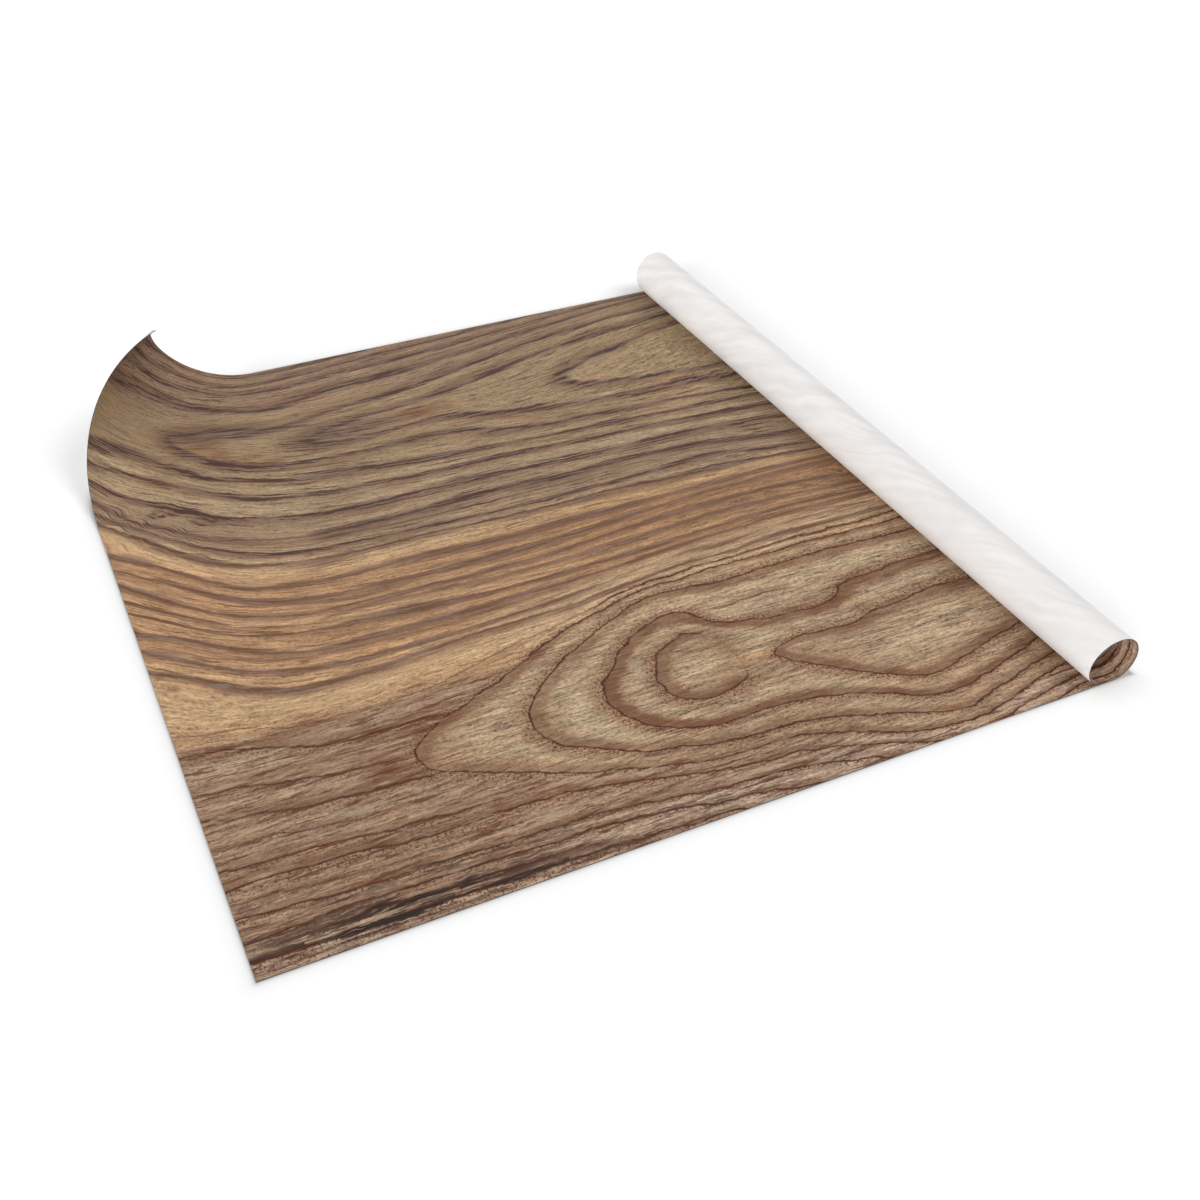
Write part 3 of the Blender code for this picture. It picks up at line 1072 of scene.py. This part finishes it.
    # Soft dark rings of the back part, each a band of dark threads with grey and brown
    # between. The threads thin out towards both sides of the band.
    uneven = noise_at(along * 14, level * 2.5, 18.0, 1)
    band_width = (gap * 0.16).at_least(LEAST_BAND).at_most(MOST_BAND)
    band_width = band_width * (1.05 + uneven * 0.28 - golden_left * 0.2)
    band = hump(from_ring, band_width)
    haze = hump(from_ring + band_width * 0.9, band_width * 1.7) * 0.5
    ring_shown = behind_front * dark * (0.95 + uneven * 0.1)
    thread = noise_at(along * 22, waved * 520, 19.0, 1, 0.6) * 1.1 + fine * 0.5 + fibre * 0.3
    threads = smooth(thread + band * 2.6, 1.3, 2.9)
    thin = smooth(noise_at(along * 5, level * 15, 14.0), 0.6, 2.2)
    stray_threads = smooth(noise_at(along * 26, waved * 430, 20.0, 1), 0.9, 2.0)
    thin = (thin * 0.35 + stray_threads * 0.4) * behind_front * (1 - calm * 0.5)
    between = mixed(smooth(fibre, -1.0, 1.0), BACK_GREY, BACK_HAZE)
    back_line = mixed(golden, BACK_LINE, GOLD_LINE)
    wood = mixed(haze * ring_shown + thin, ground, BACK_HAZE)
    fuzzy = (streaked * behind_front * 1.3).at_most(1.0)
    wood = mixed((band * ring_shown * 0.75).at_least(fuzzy * 0.85), wood, between)
    wood = mixed(threads * ring_shown * (0.9 - golden * 0.12), wood, back_line)
    wood = mixed(smooth(thread, -0.3, 1.3) * fuzzy, wood, BACK_LINE)

    # Short lines of the back part
    nearest = (line_place / LINE_APART).math("ROUND") * LINE_APART
    from_line = (line_place - nearest) * (1 - front * 2) + wander
    short_band = hump(from_line, line_width * 1.6)
    short_threads = smooth(thread + short_band * 3.0, 1.4, 3.0)
    wood = mixed(short_threads * line_shown * behind_front * 0.95, wood, back_line)

    # Sharp rings and short lines of the front part, browner on the inside, most of all in
    # the rings round the knot, and with pores beside them and strewn over the wood
    reach = (gap * 0.42).at_least(LEAST_REACH).at_most(MOST_REACH)
    patchy = noise_at(along * 30, across * 30, 6.0, 1) * 0.15
    inner_brown = 0.54 + hump(level - 2.7, 0.8) * 0.32 + patchy
    ring = front_share(from_ring, RING_LINE, dark, inner_brown, reach, figure)
    short_width = line_width * 0.6 + 0.0003
    short = front_share(from_line, short_width, line_shown, 0.55, line_width * 9, figure)
    line, brown, pores = (first.at_least(other) for first, other in zip(ring, short))
    strewn = smooth(noise_at(along * 140, waved * 520, 10.0, 1), 1.1, 2.2) * 0.5
    pores = pores.at_least(strewn)
    wood = mixed(brown * 0.9, wood, RED_BROWN)
    wood = mixed(pores * 0.8, wood, PORE)
    wood = mixed(line, wood, FRONT_LINE)

    # Thin brown and pale streaks over the front, and near-black ones where it is streaked
    streaks = noise_at(along * 16, waved * 260, 15.0, 3, 0.7)
    over_front = front * (1 - in_knot * 0.6) * (1 - smooth(across, 0.16, 0.20) * 0.7)
    wood = mixed(smooth(thin_streaks, 0.6, 1.7) * over_front * 0.8, wood, PORE)
    wood = mixed(smooth(thin_streaks, -0.7, -2.1) * over_front * 0.5, wood, CREAM)
    dark_streaks = smooth(streaks + fine * 0.5, 0.6, -0.9) * streaked * front
    wood = mixed(dark_streaks * 0.8, wood, STREAK_BROWN)
    black = (line_dark - 1.0).at_least(0.0) * hump(from_line, line_width * 2.0)
    black = black * smooth(streaks + fine * 0.5 + fibre * 0.3, 1.6, -1.0)
    wood = mixed(black * 1.8, wood, NEAR_BLACK)

    # Cut edges darker, partly the end grain and partly painted shade
    wood = mixed(kept(tree, "cut_edge", "Fac"), wood, CUT_WOOD_AND_SHADE)
    relief = fibre * 0.06 + speck * 0.05 - pores * 0.5
    dress(shader, wood, 0.62 + fibre * 0.027, relief, relief_strength=0.2, gloss=0.2)
    return material


PAPER_STREAK = colour(223, 221, 220)
PAPER_WHITE = colour(236, 234, 233)
# Dark grey-brown of the paper's cut edges, which is painted shade on white paper
PAPER_EDGE_SHADE = colour(92, 82, 75)


def paper_finish():
    """Matt off-white paper with faint wavy streaks."""
    material, tree, shader = new_finish("paper_backing")
    along, across = parts(kept(tree, "flat_place"))[:2]
    wave = noise_at(along * 12, across * 12, 1.0) * 0.0025
    beside = along - across * 0.5 + wave
    streak = noise_at((across + along * 0.5) * 12, beside * 110, 2.0, 3)
    mottle = noise_at(along * 60, across * 60, 3.0, 3)
    pale = 0.5 + streak * 0.20 + mottle * 0.05
    paper = mixed(pale, PAPER_STREAK, PAPER_WHITE)
    # Cut edges painted dark as shade
    paper = mixed(kept(tree, "cut_edge", "Fac"), paper, PAPER_EDGE_SHADE)
    rough = 0.78 + mottle * 0.007
    dress(shader, paper, rough, mottle * 0.07, relief_strength=0.1, gloss=0.3)
    return material


def camera_share(tree):
    """Is 1 for what the camera sees itself, in a mirror or through glass."""
    path = tree.node("ShaderNodeLightPath")
    seen = path.value("Is Camera Ray") + path.value("Is Glossy Ray")
    return (seen + path.value("Is Transmission Ray")).at_most(1.0)


# Size and whiteness of the floor, how much it shines of itself for the camera, and how
# strong the room's light is on everything
FLOOR_SIZE = 12.0
WHITE = Vector((1.0, 1.0, 1.0))
FLOOR_WHITE = WHITE * 0.95
FLOOR_LIFT = 0.11
LIGHT_FROM_WORLD = 0.55

# Lamps, each with its strength, how wide it is in degrees, and the way towards it: one
# high beyond the roll, and one low at the cut end that lights the roll's side
LAMPS = (
    ("high_lamp", 1.28, 32, Vector((0.95, -0.62, 1.15))),
    ("low_lamp", 2.40, 40, Vector((-0.70, -0.60, 0.22))),
)

# Soft shadow painted on the floor beside the sheet's edges and how far out it fades, the
# same for the painted dark line of shadow right under them, and the Y less X over which
# the corner lifts off
EDGE_SHADE = 0.17
EDGE_SHADE_REACH = 0.014
EDGE_SHADOW_LINE = 0.5
EDGE_SHADOW_LINE_REACH = 0.0013
UNDER_CURL = (0.42, 0.46)


def edge_shade(tree):
    """How much darker the floor is beside the sheet where it lies on it, as painted shadow."""
    x, y = parts(tree.node("ShaderNodeTexCoord").value("Object"))[:2]
    past_x = (x.math("ABSOLUTE") - BOX_LENGTH / 2).at_least(0.0)
    past_y = (y.math("ABSOLUTE") - SHEET_WIDTH / 2).at_least(0.0)
    past = (past_x * past_x + past_y * past_y).math("SQRT")
    soft = (past / -EDGE_SHADE_REACH).math("EXPONENT") * EDGE_SHADE
    sharp = (past / -EDGE_SHADOW_LINE_REACH).math("EXPONENT") * EDGE_SHADOW_LINE
    return (soft + sharp) * (1 - smooth(y - x, *UNDER_CURL))


def add_floor():
    """A white floor, which shows plain white wherever nothing shades it."""
    half = FLOOR_SIZE / 2
    mesh = bpy.data.meshes.new("floor")
    corners = [(-half, -half, 0), (half, -half, 0), (half, half, 0), (-half, half, 0)]
    mesh.from_pydata(corners, [], [(0, 1, 2, 3)])
    material, tree, shader = new_finish("floor")
    # Painted shadow beside the sheet darkens the floor's colour
    feed(shader, "Base Color", scaled(FLOOR_WHITE, 1 - edge_shade(tree)))
    shader.inputs["Roughness"].default_value = 0.9
    shader.inputs["Specular IOR Level"].default_value = 0.0
    shader.inputs["Emission Strength"].default_value = 1.0
    feed(shader, "Emission Color", scaled(WHITE, camera_share(tree) * FLOOR_LIFT))
    mesh.materials.append(material)
    in_scene("floor", mesh)


def add_light():
    """A white room with two big soft lamps."""
    world = bpy.data.worlds.new("studio")
    world.use_nodes = True
    tree = Tree(world.node_tree)
    background = world.node_tree.nodes["Background"]
    background.inputs["Strength"].default_value = 1.0
    share = LIGHT_FROM_WORLD + camera_share(tree) * (1.0 - LIGHT_FROM_WORLD)
    feed(background, "Color", scaled(WHITE, share))
    bpy.context.scene.world = world
    for name, energy, degrees, towards_lamp in LAMPS:
        data = bpy.data.lights.new(name, "SUN")
        data.energy = energy
        data.angle = math.radians(degrees)
        lamp = in_scene(name, data)
        lamp.rotation_euler = towards_lamp.to_track_quat("Z", "Y").to_euler()


def add_camera():
    data = bpy.data.cameras.new("camera")
    data.lens = CAMERA_LENS_MM
    data.sensor_width = SENSOR_MM
    data.clip_start = 0.01
    data.clip_end = 100.0
    camera = in_scene("camera", data)
    turn = Matrix.Rotation(-CAMERA_YAW, 4, "Z")
    tilt = Matrix.Rotation(math.pi / 2 - CAMERA_TILT, 4, "X")
    roll = Matrix.Rotation(-CAMERA_ROLL, 4, "Z")
    camera.matrix_world = Matrix.Translation(CAMERA_PLACE) @ turn @ tilt @ roll
    bpy.context.scene.camera = camera


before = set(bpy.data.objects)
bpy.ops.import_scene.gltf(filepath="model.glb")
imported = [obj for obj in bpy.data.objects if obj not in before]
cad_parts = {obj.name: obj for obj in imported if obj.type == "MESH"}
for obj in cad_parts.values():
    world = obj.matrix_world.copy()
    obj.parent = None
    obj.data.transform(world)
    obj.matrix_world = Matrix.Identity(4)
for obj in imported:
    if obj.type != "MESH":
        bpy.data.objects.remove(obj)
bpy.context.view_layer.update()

sheet = sheet_tree()
leaf_bottom = BACKING_THICKNESS - GLUE_DEPTH
leaf = layer(sheet, "wood_leaf", leaf_bottom, SHEET_THICKNESS, LEAF_ROWS, wood_finish())
backing = layer(sheet, "backing_paper", 0.0, BACKING_THICKNESS, BACKING_ROWS, paper_finish())
mark_figure(leaf.data)
unfold(leaf.data, SHEET_THICKNESS)
unfold(backing.data, BACKING_THICKNESS)
for piece, slot in ((leaf, "wood_face"), (backing, "paper_backing")):
    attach(piece, "root")
    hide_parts("veneer_sheet")

add_floor()
add_light()
add_camera()
bpy.context.scene.view_settings.view_transform = "Standard"
